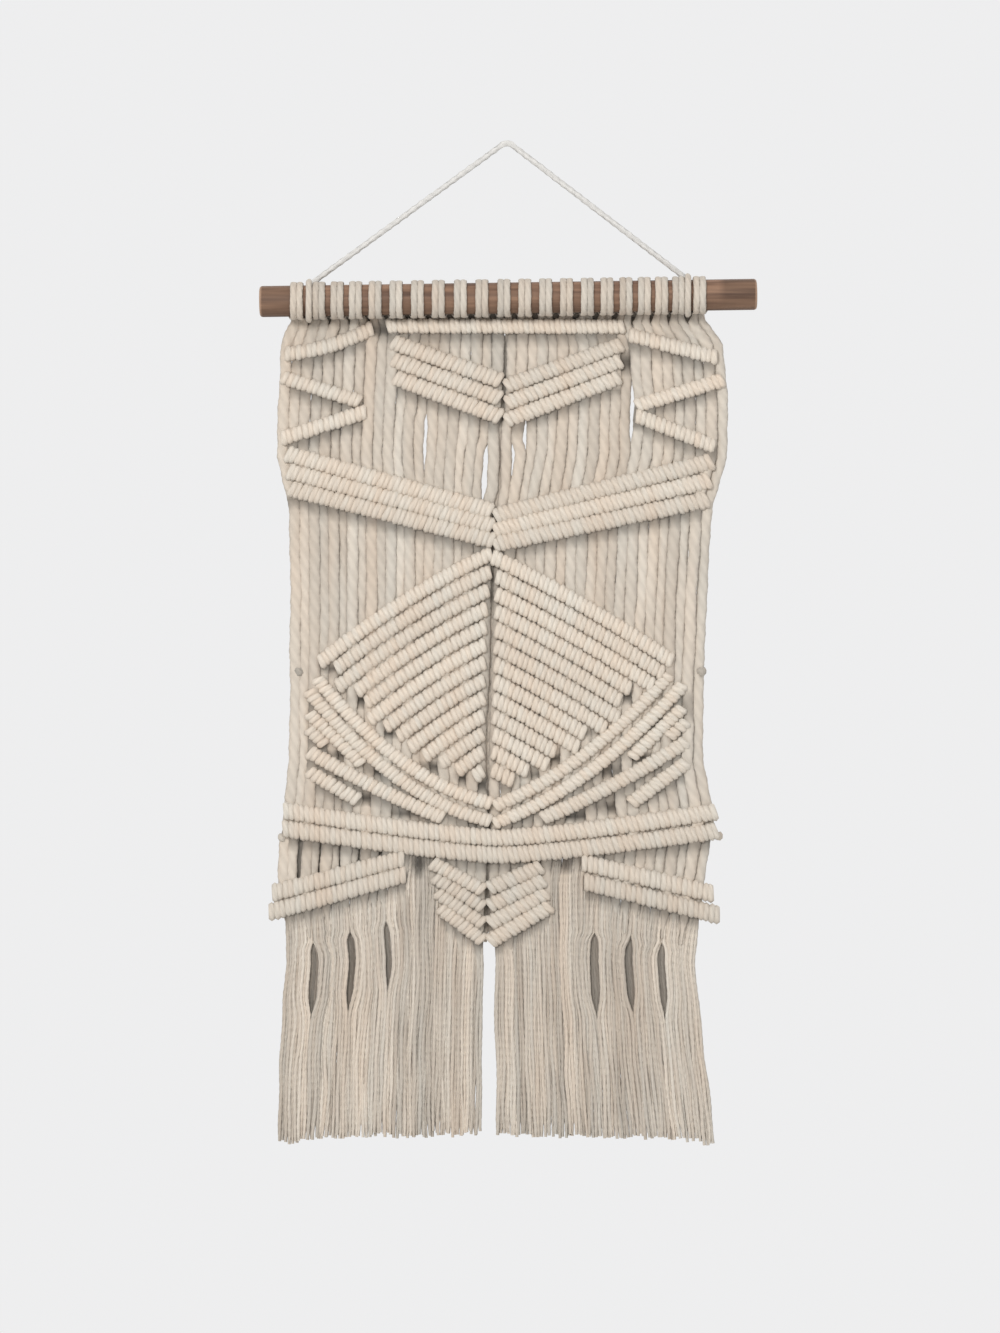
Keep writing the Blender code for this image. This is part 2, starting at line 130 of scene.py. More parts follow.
# Outline of the strands: height, left edge, end of the left half, start of the right half, right edge
OUTLINE = (
    (-145.0, -177.0, -3.5, 0.0, 161.5),
    (-165.5, -184.5, -3.5, 0.0, 176.5),
    (-210.5, -187.0, -4.0, -1.0, 181.0),
    (-256.0, -188.5, -7.5, -4.0, 180.5),
    (-297.0, -178.0, -12.5, -9.0, 168.0),
    (-342.0, -177.0, -13.0, -10.0, 165.0),
    (-440.5, -177.0, -15.5, -12.5, 160.5),
    (-506.0, -178.0, -18.0, -15.0, 160.5),
    (-555.0, -183.0, -16.5, -13.0, 169.5),
    (-604.5, -186.0, -18.0, -15.0, 161.5),
    (-670.0, -178.0, -20.5, -9.0, 152.5),
    (-752.0, -185.5, -22.0, -8.0, 161.0),
    (-817.5, -187.0, -21.5, -7.5, 170.5),
)

# Heights: the strands hang in the pairs of their heads above the first one and evenly below the second, a
# strand's place for finding its last row, the foot of the fringe, and how much lower its outer corners are
PAIRED_ABOVE = -139.0
EVEN_BELOW = -153.0
FIELD_FOOT = -620.0
FRINGE_FOOT = -812.5
FRINGE_CORNER_DROP = 6.5

# Long openings: strand on the left, in parts of a strand in the fringe, top z, foot z, width, and whether cord
# painted dark as shade lies behind
SLOTS = (
    (9.7, -646.0, -684.0, 3.4, True),
    (5.65, -654.0, -702.0, 4.3, True),
    (1.75, -664.0, -706.0, 5.4, True),
    (30.5, -655.0, -706.0, 5.8, True),
    (34.25, -659.0, -705.0, 5.6, True),
    (37.4, -664.0, -707.0, 5.2, True),
    (1, -572.0, -612.0, 2.6, True),
    (3, -573.0, -606.0, 2.6, True),
    (5, -574.0, -601.0, 2.6, True),
    (7, -575.0, -597.0, 2.6, True),
    (9, -576.0, -593.0, 2.6, True),
    (13, -228.0, -262.0, 1.8, False),
    (19, -252.0, -290.0, 3.4, False),
    (21, -252.0, -268.0, 2.4, False),
    (22, -234.0, -250.0, 2.2, False),
    (32, -206.0, -240.0, 2.2, False),
)
# Strands to both sides that give way to an opening, the lengths over which it opens and closes, and the part
# of the second one that lies below its foot
SLOT_REACH = 3.2
SLOT_FADE = 10.0
SLOT_TAIL = 24.0
SLOT_OVERRUN = 0.6

# Openings where the strands lie deep behind the rows, with painted shade on them: x, z, half width, half
# height, depth from 0 to 1
HOLES = (
    (-104.0, -153.5, 9.5, 7.5, 1.0),
    (-145.0, -430.5, 5.5, 6.0, 1.0),
    (-120.5, -456.0, 6.0, 6.5, 1.0),
    (-95.0, -484.0, 7.0, 6.0, 1.0),
    (-62.0, -511.5, 7.0, 6.0, 1.0),
    (-37.0, -520.5, 6.5, 5.5, 1.0),
    (-19.5, -526.0, 5.5, 8.0, 1.0),
    (98.0, -453.5, 6.5, 6.0, 1.0),
    (69.0, -483.0, 6.0, 5.5, 0.6),
    (39.0, -504.5, 6.0, 5.5, 0.9),
    (20.5, -517.5, 5.5, 5.0, 0.8),
    (-138.5, -502.0, 6.5, 6.0, 0.9),
    (-108.0, -515.5, 6.0, 6.0, 0.9),
    (-117.0, -537.5, 6.0, 6.0, 0.95),
    (-86.0, -549.5, 12.0, 4.5, 0.7),
    (110.5, -504.5, 7.5, 5.5, 1.0),
    (86.5, -515.5, 7.0, 5.0, 1.0),
    (57.5, -552.0, 9.0, 5.0, 0.95),
    (83.5, -545.0, 7.0, 5.5, 1.0),
    (105.0, -538.5, 8.0, 4.5, 0.5),
    (147.0, -463.0, 4.0, 13.0, 0.5),
    (97.0, -180.0, 4.0, 9.0, 0.9),
    (-72.5, -592.0, 5.5, 9.0, 1.0),
    (48.5, -591.0, 5.5, 7.5, 0.8),
)

# Painted shade of the middle seam and of the cords behind it: z, shade
SEAM_SHADES = (
    (-150.0, 0.34),
    (-226.0, 0.34),
    (-236.0, 0.76),
    (-336.0, 0.76),
    (-344.0, 0.28),
    (-376.0, 0.28),
    (-386.0, 0.74),
    (-512.0, 0.74),
    (-522.0, 0.32),
    (-655.0, 0.34),
)
# Heights between which the strands beside the seam lie deeper and get painted shade, how deep, and how far that
# reaches to both sides
SEAM_SHADOW = (-344.0, -520.0)
SEAM_DEPTH = 0.78
SEAM_REACH = 6.5
# In the deepest opening, the light that is lost and how far back the strands lie
HOLE_SHADE = 0.78
HOLE_RECESS = 4.0
# Right below a row, the light that is lost and how far down that reaches
ROW_SHADOW = 0.55
SHADOW_LENGTH = 12.0

# Cord of the heads, and the strands that hang from them
HEAD_FLAT = 0.50
HEAD_TONE = 0.97
HEAD_START_PRESS = math.radians(-40)
PAIRED_WIDTH = 0.95
STRAND_STEP = 5.0
# Strand tones lower than the rows': painted shade of the strands lying back behind the rows, with tone that
# differs at random
STRAND_TONES_AND_SHADE = (0.72, 0.86)
STRAND_LAYER = 1.1
LAYER_STEP = 0.5
# Longest wave, shortest wave and size of the changes in a strand's place, depth, fullness and tone
STRAND_WAVES = ((160.0, 60.0, 0.6), (120.0, 40.0, 0.8), (150.0, 50.0, 0.07), (200.0, 70.0, 0.05))
# A strand runs on among its plies: how far below its last row, and where, how fast and how much it thins
STRAND_TAIL = 34.0
THINNING_TOP = 2.0
THINNING_LENGTH = 30.0
THINNING = 0.8

# Plies of the fringe. They start in a bunch a little above the middle of the last row, come apart over
# PLY_SPREAD, and are looser at the foot
PLY_STEP = 6.0
PLY_RISE = 3.0
PLY_SPREAD = 32.0
PLY_BUNCH = 2.6
PLY_MARGIN = 0.2
PLY_LOOSENESS = (0.45, 1.2)
PLY_FLAT = 0.9
PLY_TIP = 14.0
PLY_TAPER = 0.3
PLY_SETBACKS = (-0.4, 0.5)
# Lowest and highest: strand's end, depth and tone, and then its plies' ends, tone and thickness
FRINGE_ENDS = (-1.5, 1.5)
FRINGE_LAYERS = (-1.3, 1.0)
FRINGE_TONES = (0.69, 0.92)
PLY_ENDS = (-2.5, 1.5)
PLY_TONES = (0.95, 1.05)
PLY_SIZES = (0.9, 1.1)
FRINGE_SWAY = (160.0, 70.0, 0.8)
FRINGE_PATCH = (220.0, 80.0, 0.07)
PLY_SWAY = (110.0, 45.0, 1.0)
PLY_DEPTH = (130.0, 50.0, 1.0)

# Cords behind the others, painted dark as the shade seen through the openings, the seam and below the dowel.
# The backs of all cords are at least as light as BACK_SHADE, so that painted shade stays on their fronts
BACK_SHADE = 0.8
BACKING_SHADE = 0.34
BACKING_TONES = (0.85, 1.15)
BACKING_SEED = 0.5
BACKING_Y = 3.9
BACKING_HALF = 3.9
BEHIND_END_Y = 1.6
BEHIND_FLAT = 0.6
BEHIND_STEP = 6.0
BEHIND_FADE = 16.0
BEHIND_TIP = 0.3
BEHIND_PLIES = 5
BEHIND_HALF = 2.3
BEHIND_STARTS = (0.0, 12.0)
BEHIND_ENDS = (0.0, 48.0)
BEHIND_SWAY = (90.0, 40.0, 0.8)
# How much wider than its opening the dark cord lies at its ends, and how much more in its middle
BEHIND_MARGIN = 3.0
BEHIND_BELLY = 5.0
SEAM_CORDS = (-2.5, 2.5)
# How far two cords behind the heads lie under the dowel's axis; they are painted dark as the shade under it
UNDER_DOWEL = (13.0, 19.5)
UNDER_STEPS = 40
UNDER_FLAT = 0.5

# Rows: margin at a row's ends, depth at which an opening ends a row, half heights of single and other rows
END_MARGIN = 2.6
HOLE_EDGE = 0.18
SINGLE_ROW_HALF = 6.9
LEAST_ROW_HALF = 6.3
MOST_ROW_HALF = 8.2
ROW_STEPS = 60
ROW_TONES = (0.90, 0.98)
CORE_HALF = 2.7
CORE_TONE = 0.9
# How much farther a group's middle rows reach, how closely its rows lie together, their tone, and how full
# their bow is (2 is round, 1 is pointed)
PLAIN_ROWS = (0.0, 1.12, 1.0, 2.0)
ROW_TRAITS = {
    "rows_wings": (0.0, 1.12, 0.94, 2.0),
    "rows_vee": (0.0, 1.18, 0.95, 2.0),
    "rows_diamond_left": (12.0, 1.12, 1.0, 2.0),
    "rows_diamond_right": (11.0, 1.18, 0.99, 2.0),
    "rows_sash": (0.0, 1.12, 0.94, 1.3),
    "rows_diagonals": (0.0, 1.12, 0.91, 2.0),
    "rows_points": (0.0, 1.12, 0.90, 2.0),
}
# How far the rows beside the middle seam stay from its edge: first row, rows farther down, rows in between
SEAM_MARGINS = {
    "rows_vee": (2.6, 1.2, 2),
    "rows_diamond_left": (1.2, 5.9, 4),
    "rows_diamond_right": (-1.4, 3.4, 1),
}
# Differences between wraps: turn in radians, height and depth, and how much shorter and flatter each second
# wrap is and, in metres, how much nearer to the one before
WRAP_TURN = 0.07
WRAP_HEIGHTS = (0.96, 1.04)
WRAP_DEPTHS = (0.93, 1.05)
SECOND_SHORTER = 0.05
SECOND_FLATTER = 0.08
SECOND_NEARER = 0.0005

# Hanger cord. Each hitch: name, CAD node, x, and the way that it winds
HANGER_RADIUS = 2.5
HANGER_BEND = 7.0
HANGER_FOOT_RISE = 13.8
HANGER_SEED = 0.3
HANGER_STEPS = 24
BEND_STEPS = 8
HITCHES = (("hitch_left", "hanger_hitch_left", -162.5, 1), ("hitch_right", "hanger_hitch_right", 148.5, -1))
HITCH_ANGLES = (-15.0, 400.0)
HITCH_STEPS = 30
HITCH_SHIFT = 1.1
HITCH_TONE = 0.80
HITCH_SEED = 0.7

# Small knots at the ends of holding cords: x, z, half width, darkness
END_KNOTS = (
    (-170.5, -433.0, 5.2, 0.55),
    (159.5, -433.0, 5.2, 0.62),
    (-184.5, -569.0, 4.6, 0.75),
    (173.5, -568.0, 4.6, 0.75),
)
# The two loops of a knot: how far one leans back in radians, and its size
KNOT_LOOPS = ((0.0, 1.0), (0.6, 0.9))
KNOT_INSET = 3.4
KNOT_CORD = 2.3
KNOT_Y = -0.8
KNOT_BEND = 1.2
KNOT_STEPS = 13

# Twist of each kind of cord: sides, depth of its three lobes, lay length in metres, turns of its fibres
TWISTS = {
    "strand": (12, 0.06, 0.06, 1.0),
    "ply": (7, 0.04, 0.05, 0.2),
    "core": (8, 0.08, 0.04, 1.0),
    "hanger": (12, 0.06, 0.03, 1.0),
    "hitch": (12, 0.07, 0.14, 1.0),
    "knot": (9, 0.06, 0.02, 1.0),
}
LINE_ATTRIBUTES = ("half_width", "flat", "shade", "seed", "press")

# Cotton: winding of its fibres in radians a metre, their noise across and along, and patches of tone
FIBRE_WINDING = 260.0
FIBRE_ACROSS = 2.6
FIBRE_ALONG = 70.0
PATCHES = (60.0, 60.0, 9.0)
PATCH_CONTRAST = 1.6
COTTON_BUMP = 0.6
HANGER_BUMP = 0.5
# Wood: grain along the dowel, where the heads leave it open, painted light on its top and painted shade on its
# foot between the heads, cut ends
GRAIN = (14.0, 260.0, 260.0)
BETWEEN_HEADS = 171.0
OPEN_AIR_FADE = 6.0
PAINTED_LIGHT_TOP = 1.75
PAINTED_SHADE_FOOT = 0.85
CUT_INSET = 2.2
CUT_FADE = 1.5

# Stage, in metres. Each light: name, place, size, power
LIGHTS = (
    ("key_light", (-0.8, -2.5, 0.6), 0.8, 44.0),
    ("fill_light", (1.6, -2.4, 0.2), 1.8, 6.0),
    ("back_light", (0.4, 2.6, 1.0), 2.0, 14.0),
)
LIT_PLACE = (0.0, 0.0, -0.42)
ROOM_COLOUR = (0.855, 0.855, 0.86, 1.0)
FLOOR_COLOUR = (0.80, 0.80, 0.79, 1.0)
FLOOR_RADIUS = 3.4
FLOOR_Z = -1.65
CAMERA_DISTANCE = 4.0
SENSOR_HEIGHT = 24.0
FRAME_HEIGHT = 1.093
FRAME_CENTRE = (-0.0057, -0.429)


def metres(name, description, default):
    return FloatProperty(name=name, description=description, default=default, unit="LENGTH", subtype="DISTANCE")


def tint(name, description, default):
    return FloatVectorProperty(
        name=name, description=description, default=default, size=3, min=0.0, max=1.0, subtype="COLOR"
    )


class HangingSettings(bpy.types.PropertyGroup):
    """Sizes of the visible cords and colours of cotton and wood."""

    strand_half: metres("Strand half width", "Half the width of a hanging strand between two rows", 0.0049)
    strand_flat: FloatProperty(
        name="Strand flatness",
        description="Depth of a hanging strand as a share of its width",
        default=0.50,
        subtype="FACTOR",
    )
    head_radius: metres("Head cord radius", "Radius of the cord where it goes round the dowel", 0.0028)
    wrap_pitch: metres("Wrap pitch", "Distance between two wraps along a row", 0.0043)
    wrap_radius: metres("Wrap cord radius", "Radius of the cord in a wrap", 0.0030)
    wrap_lean: FloatProperty(
        name="Wrap lean",
        description="How far a wrap leans along its row",
        default=math.radians(14),
        unit="ROTATION",
        subtype="ANGLE",
    )
    row_y: metres("Row depth", "Where the middle of a row lies in front of the strands", -0.0026)
    plies: IntProperty(
        name="Plies", description="Plies that each strand comes apart into in the fringe", default=4
    )
    ply_radius: metres("Ply radius", "Radius of one ply of the fringe", 0.00185)
    seed: IntProperty(name="Seed", description="Start of all random numbers", default=21)
    cotton_warm: tint("Warm cotton", "Colour of the cotton where it is warmest", (0.640, 0.540, 0.440))
    cotton_pale: tint("Pale cotton", "Colour of the cotton where it is palest", (0.640, 0.590, 0.515))
    hanger_cotton: tint("Hanger cotton", "Colour of the hanger cord", (0.58, 0.565, 0.54))
    wood_dark: tint("Dark wood", "Colour of the dowel's darkest grain", (0.045, 0.024, 0.017))
    wood_light: tint("Light wood", "Colour of the dowel's lightest grain", (0.210, 0.125, 0.080))
    wood_end: tint("Cut wood", "Colour of the dowel's cut ends", (0.380, 0.250, 0.170))


# Node helpers


class Value:
    """An output of a node, with arithmetic that adds Math nodes."""

    def __init__(self, graph, socket):
        self.graph = graph
        self.socket = socket

    def math(self, operation, *others):
        sockets = dict(enumerate((self, *others)))
        return self.graph.value("ShaderNodeMath", {"operation": operation}, sockets)

    def clamped(self):
        return self.math("MAXIMUM", 0.0).math("MINIMUM", 1.0)

    def __add__(self, other):
        return self.math("ADD", other)

    def __mul__(self, other):
        return self.math("MULTIPLY", other)

    def __sub__(self, other):
        return self.math("SUBTRACT", other)

    def __truediv__(self, other):
        return self.math("DIVIDE", other)

    def __rsub__(self, other):
        return self * -1.0 + other

    __radd__ = __add__
    __rmul__ = __mul__


class Graph:
    """A node tree that is filled through one method."""

    def __init__(self, tree):
        self.tree = tree

    def add(self, kind, settings=None, sockets=None):
        node = self.tree.nodes.new(kind)
        for name, value in (settings or {}).items():
            setattr(node, name, value)
        self.feed(node, sockets or {})
        return node

    def feed(self, node, sockets):
        for key, value in sockets.items():
            if isinstance(value, Value):
                self.tree.links.new(value.socket, node.inputs[key])
            else:
                node.inputs[key].default_value = value

    def value(self, kind, settings=None, sockets=None, output=0):
        return Value(self, self.add(kind, settings, sockets).outputs[output])

    def named(self, name, data_type="FLOAT"):
        return self.value("GeometryNodeInputNamedAttribute", {"data_type": data_type}, {"Name": name})

    def store(self, geometry, name, value, data_type="FLOAT", domain="POINT"):
        settings = {"data_type": data_type, "domain": domain}
        sockets = {"Geometry": geometry, "Name": name, "Value": value}
        return self.value("GeometryNodeStoreNamedAttribute", settings, sockets)

    def moved(self, geometry, **places):
        return self.value("GeometryNodeSetPosition", None, {"Geometry": geometry, **places})

    def vector(self, x, y, z):
        return self.value("ShaderNodeCombineXYZ", None, {0: x, 1: y, 2: z})

    def axes(self, vector):
        node = self.add("ShaderNodeSeparateXYZ", None, {0: vector})
        return [Value(self, output) for output in node.outputs]

    def scaled(self, vector, size):
        return self.value("ShaderNodeVectorMath", {"operation": "SCALE"}, {0: vector, "Scale": size})

    def stretched(self, vector, sizes):
        return self.value("ShaderNodeVectorMath", {"operation": "MULTIPLY"}, {0: vector, 1: sizes})

    def blended(self, share, first, second):
        """A colour between two colours."""
        return self.value("ShaderNodeMix", {"data_type": "RGBA"}, {0: share, 6: first, 7: second}, 2)

    def noise(self, vector, scale, detail):
        sockets = {"Vector": vector, "Scale": scale, "Detail": detail}
        return self.value("ShaderNodeTexNoise", None, sockets)

    def bump(self, strength, distance, height):
        sockets = {"Strength": strength, "Distance": distance, "Height": height}
        return self.value("ShaderNodeBump", None, sockets)


def geometry_tree(name, inputs):
    """A new Geometry Nodes tree and its inputs, each (name, type, default)."""
    tree = bpy.data.node_groups.new(name, "GeometryNodeTree")
    for way in ("INPUT", "OUTPUT"):
        tree.interface.new_socket(name="Geometry", in_out=way, socket_type="NodeSocketGeometry")
    for label, kind, default in inputs:
        socket = tree.interface.new_socket(name=label, in_out="INPUT", socket_type=kind)
        if default is not None:
            socket.default_value = default
    graph = Graph(tree)
    given = graph.add("NodeGroupInput")
    return graph, {output.name: Value(graph, output) for output in given.outputs if output.name}


def end_tree(graph, geometry, material):
    realized = graph.value("GeometryNodeRealizeInstances", None, {"Geometry": geometry})
    smooth = graph.value("GeometryNodeSetShadeSmooth", None, {"Geometry": realized})
    painted = graph.value("GeometryNodeSetMaterial", None, {"Geometry": smooth, "Material": material})
    graph.add("NodeGroupOutput", None, {"Geometry": painted})
    return graph.tree


def tube_profile(graph, sides, lobes, lobe_depth):
    """A closed section of radius 1 with rounded lobes, which keeps its own places in "section"."""
    circle = graph.value("GeometryNodeCurvePrimitiveCircle", None, {"Resolution": sides, "Radius": 1.0})
    x, y, _ = graph.axes(graph.value("GeometryNodeInputPosition"))
    angle = y.math("ARCTAN2", x)
    reach = (angle * lobes).math("COSINE") * lobe_depth + 1.0
    place = graph.vector(x * reach, y * reach, 0.0)
    return graph.store(graph.moved(circle, Position=place), "section", place, "FLOAT_VECTOR")


def cord_tree():
    """Tubes along lines whose points have the attributes half_width, flat, shade, seed and press."""
    graph, given = geometry_tree(
        "cord_along_lines",
        (
            ("Sides", "NodeSocketInt", 10),
            ("Lobes", "NodeSocketInt", 3),
            ("Lobe Depth", "NodeSocketFloat", 0.08),
            ("Lay Length", "NodeSocketFloat", 0.04),
            ("Fibre Turns", "NodeSocketFloat", 1.0),
            ("Material", "NodeSocketMaterial", None),
        ),
    )
    curve = graph.value("GeometryNodeMeshToCurve", None, {"Mesh": given["Geometry"]})
    curve = graph.store(curve, "along", graph.value("GeometryNodeSplineParameter", output=1))
    curve = graph.store(curve, "centre", graph.value("GeometryNodeInputPosition"), "FLOAT_VECTOR")
    tilt = (graph.named("along") / given["Lay Length"] + graph.named("seed")) * TAU
    curve = graph.value("GeometryNodeSetCurveTilt", None, {"Curve": curve, "Tilt": tilt})
    profile = tube_profile(graph, given["Sides"], given["Lobes"], given["Lobe Depth"])
    half_width = graph.named("half_width")
    sockets = {"Curve": curve, "Profile Curve": profile, "Scale": half_width, "Fill Caps": True}
    mesh = graph.value("GeometryNodeCurveToMesh", None, sockets)
    x, y, z = graph.axes(graph.value("GeometryNodeInputPosition"))
    _, middle_y, middle_z = graph.axes(graph.named("centre", "FLOAT_VECTOR"))
    press_y = graph.named("press").math("COSINE")
    press_z = graph.named("press").math("SINE")
    pressed = ((y - middle_y) * press_y + (z - middle_z) * press_z) * (graph.named("flat") - 1.0)
    flattened = graph.vector(x, y + press_y * pressed, z + press_z * pressed)
    # Backs of cords are lifted to at least BACK_SHADE, so painted shade lies on their fronts only
    behind = ((y - middle_y) / half_width * 2.0).clamped()
    shade = graph.named("shade")
    mesh = graph.store(mesh, "shade", shade + (BACK_SHADE - shade).math("MAXIMUM", 0.0) * behind)
    mesh = graph.moved(mesh, Position=flattened)
    mesh = graph.store(mesh, "along", graph.named("along") * given["Fibre Turns"])
    return end_tree(graph, mesh, given["Material"])


def row_tree():
    """Wraps round lines whose points have the attributes half_height, lean and shade."""
    graph, given = geometry_tree(
        "wraps_along_lines",
        (
            ("Pitch", "NodeSocketFloat", 0.0043),
            ("Cord Radius", "NodeSocketFloat", 0.0024),
            ("Reach", "NodeSocketFloat", 0.0040),
            ("Depth", "NodeSocketFloat", 0.0025),
            ("Sides", "NodeSocketInt", 6),
            ("Loop Points", "NodeSocketInt", 12),
            ("Seed", "NodeSocketInt", 1),
            ("Material", "NodeSocketMaterial", None),
        ),
    )
    curve = graph.value("GeometryNodeMeshToCurve", None, {"Mesh": given["Geometry"]})
    sockets = {"Curve": curve, "Length": given["Pitch"]}
    spaced = graph.value("GeometryNodeResampleCurve", {"mode": "LENGTH"}, sockets)

    sockets = {"Resolution": given["Loop Points"], "Radius": 1.0}
    circle = graph.value("GeometryNodeCurvePrimitiveCircle", None, sockets)
    x, y, _ = graph.axes(graph.value("GeometryNodeInputPosition"))
    loop = graph.moved(circle, Position=graph.vector(x * given["Reach"], y * given["Depth"], 0.0))
    loop = graph.store(loop, "along", graph.value("GeometryNodeSplineParameter", output=1))
    profile = tube_profile(graph, given["Sides"], 2, 0.0)
    sockets = {"Curve": loop, "Profile Curve": profile, "Scale": given["Cord Radius"], "Fill Caps": False}
    wrap = graph.value("GeometryNodeCurveToMesh", None, sockets)

    def chance(low, high, offset):
        sockets = {2: low, 3: high, "Seed": given["Seed"] + offset}
        return graph.value("FunctionNodeRandomValue", {"data_type": "FLOAT"}, sockets, 1)

    tangent = graph.value("GeometryNodeInputTangent")
    second = graph.value("GeometryNodeInputIndex").math("MODULO", 2.0)
    spaced = graph.moved(spaced, Offset=graph.scaled(tangent, (0.5 - second) * SECOND_NEARER))
    settings = {"axis": "Z", "pivot_axis": "Y"}
    across = graph.value("FunctionNodeAlignRotationToVector", settings, {"Vector": tangent})
    lean = graph.named("lean") + chance(-WRAP_TURN, WRAP_TURN, 1)
    lean = graph.vector(chance(-WRAP_TURN, WRAP_TURN, 3), lean, 0.0)
    turn = graph.value("FunctionNodeEulerToRotation", None, {0: lean})
    sockets = {"Rotation": across, "Rotate By": turn}
    rotation = graph.value("FunctionNodeRotateRotation", {"rotation_space": "LOCAL"}, sockets)
    height = graph.named("half_height") / (given["Reach"] + given["Cord Radius"])
    size = graph.vector(
        height * chance(*WRAP_HEIGHTS, 5) * (1.0 - second * SECOND_SHORTER),
        chance(*WRAP_DEPTHS, 7) * (1.0 - second * SECOND_FLATTER),
        1.0,
    )
    sockets = {"Points": spaced, "Instance": wrap, "Rotation": rotation, "Scale": size}
    wraps = graph.value("GeometryNodeInstanceOnPoints", None, sockets)
    wraps = graph.store(wraps, "seed", chance(0.0, 1.0, 9), "FLOAT", "INSTANCE")
    return end_tree(graph, wraps, given["Material"])


def lines_mesh(name, lines, attributes):
    """A mesh of edges. Each line is a list of (place in metres, one number for each attribute)."""
    points = []
    edges = []
    for line in lines:
        first = len(points)
        points += line
        edges += [(place, place + 1) for place in range(first, len(points) - 1)]
    mesh = bpy.data.meshes.new(name)
    mesh.from_pydata([point[0] for point in points], edges, [])
    for number, attribute in enumerate(attributes, start=1):
        layer = mesh.attributes.new(attribute, "FLOAT", "POINT")
        layer.data.foreach_set("value", [point[number] for point in points])
    return mesh


def add_object(name, data):
    added = bpy.data.objects.new(name, data)
    bpy.context.scene.collection.objects.link(added)
    return added


def grow(name, mesh, tree, inputs):
    """A plain mesh object made by a tree from a mesh of lines."""
    start = add_object(name + "_lines", mesh)
    modifier = start.modifiers.new(name, "NODES")
    modifier.node_group = tree
    for item in tree.interface.items_tree:
        if item.in_out == "INPUT" and item.name in inputs:
            modifier[item.identifier] = inputs[item.name]
    evaluated = start.evaluated_get(bpy.context.evaluated_depsgraph_get())
    made = bpy.data.meshes.new_from_object(evaluated)
    made.name = name
    bpy.data.objects.remove(start, do_unlink=True)
    bpy.data.meshes.remove(mesh)
    return add_object(name, made)


def twist_cords(name, kind, lines, material):
    """Cords of one kind along lines of cord points, as one object."""
    tree = bpy.data.node_groups.get("cord_along_lines") or cord_tree()
    inputs = dict(zip(("Sides", "Lobe Depth", "Lay Length", "Fibre Turns"), TWISTS[kind]), Material=material)
    return grow(name, lines_mesh(name, lines, LINE_ATTRIBUTES), tree, inputs)


def fit(piece, slot, *nodes):
    """Makes a piece of the hanging ready: the CAD nodes that it stands for and its body; its slot is not used.
    """
    if nodes:
        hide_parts(*nodes)
    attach(piece, "root")


# Materials


def new_shader(name, roughness):
    material = bpy.data.materials.new(name)
    material.use_nodes = True
    graph = Graph(material.node_tree)
    shader = material.node_tree.nodes["Principled BSDF"]
    graph.feed(shader, {"Roughness": roughness, "Specular IOR Level": 0.2})
    return material, graph, shader


def cotton_material(name, warm, pale, bump_strength):
    """Twisted cotton: fine fibres wind round the cord, and its tone varies a little from place to place. Its
    colour carries the painted shade of the shade attribute and painted shade in the grooves of the twist.
    """
    material, graph, shader = new_shader(name, 0.95)

    def attribute(name, output="Fac"):
        return graph.value("ShaderNodeAttribute", {"attribute_name": name}, None, output)

    along = attribute("along")
    seed = attribute("seed")
    x, y, _ = graph.axes(attribute("section", "Vector"))
    winding = y.math("ARCTAN2", x) + along * FIBRE_WINDING + seed * 40.0
    across = winding.math("COSINE") * FIBRE_ACROSS, winding.math("SINE") * FIBRE_ACROSS
    fibre = graph.noise(graph.vector(*across, along * FIBRE_ALONG + seed * 91.0), 2.2, 3.0)
    grooves = (winding * 3.0).math("SINE") * 0.5 + 0.5
    position = graph.value("ShaderNodeTexCoord", None, None, "Object")
    patch = graph.noise(graph.stretched(position, PATCHES), 1.0, 2.0)
    tone = (patch - 0.5) * PATCH_CONTRAST + 0.5 + (seed - 0.5) * 0.5
    cotton = graph.blended(tone.clamped(), (*warm, 1.0), (*pale, 1.0))
    # Colour times the shade attribute, which holds tone and painted shade, and painted shade in the twist's
    # grooves
    light = attribute("shade") * (0.86 + grooves * 0.10 + fibre * 0.12)
    bump = graph.bump(bump_strength, 0.0006, grooves * 0.6 + fibre)
    graph.feed(shader, {"Base Color": graph.scaled(cotton, light), "Normal": bump, "Sheen Weight": 0.12})
    return material


def panel_cotton(settings):
    made = bpy.data.materials.get("cotton")
    return made or cotton_material("cotton", settings.cotton_warm, settings.cotton_pale, COTTON_BUMP)


def wood_material(settings):
    """Dark stained wood with its grain along the dowel and paler ends, with painted light at its top and
    painted shade at its foot between the heads.
    """
    material, graph, shader = new_shader("stained_wood", 0.55)
    position = graph.value("ShaderNodeTexCoord", None, None, "Object")
    x, _, z = graph.axes(position)
    along = graph.stretched(position, GRAIN)
    grain = graph.noise(along, 1.0, 5.0)
    share = ((grain - 0.5) * 1.5 + (graph.noise(along, 0.25, 2.0) - 0.5) * 1.2 + 0.5).clamped()
    wood = graph.blended(share, (*settings.wood_dark, 1.0), (*settings.wood_light, 1.0))
    out = (x - DOWEL_CENTRE[0] * MM).math("ABSOLUTE")
    open_air = ((out - BETWEEN_HEADS * MM) / (OPEN_AIR_FADE * MM)).clamped()
    height = ((z - (DOWEL_CENTRE[1] - DOWEL_RADIUS) * MM) / (2 * DOWEL_RADIUS * MM)).clamped()
    # Painted light at the top and painted shade at the foot of the wood between the heads
    between = height * (PAINTED_LIGHT_TOP - PAINTED_SHADE_FOOT) + PAINTED_SHADE_FOOT
    shaded = graph.scaled(wood, between + (1.0 - between) * open_air)
    cut = ((out - (DOWEL_HALF - CUT_INSET) * MM) / (CUT_FADE * MM)).clamped() * (grain * 0.5 + 0.6)
    colour = graph.blended(cut, shaded, (*settings.wood_end, 1.0))
    graph.feed(shader, {"Base Color": colour, "Normal": graph.bump(0.3, 0.0004, grain)})
    return material


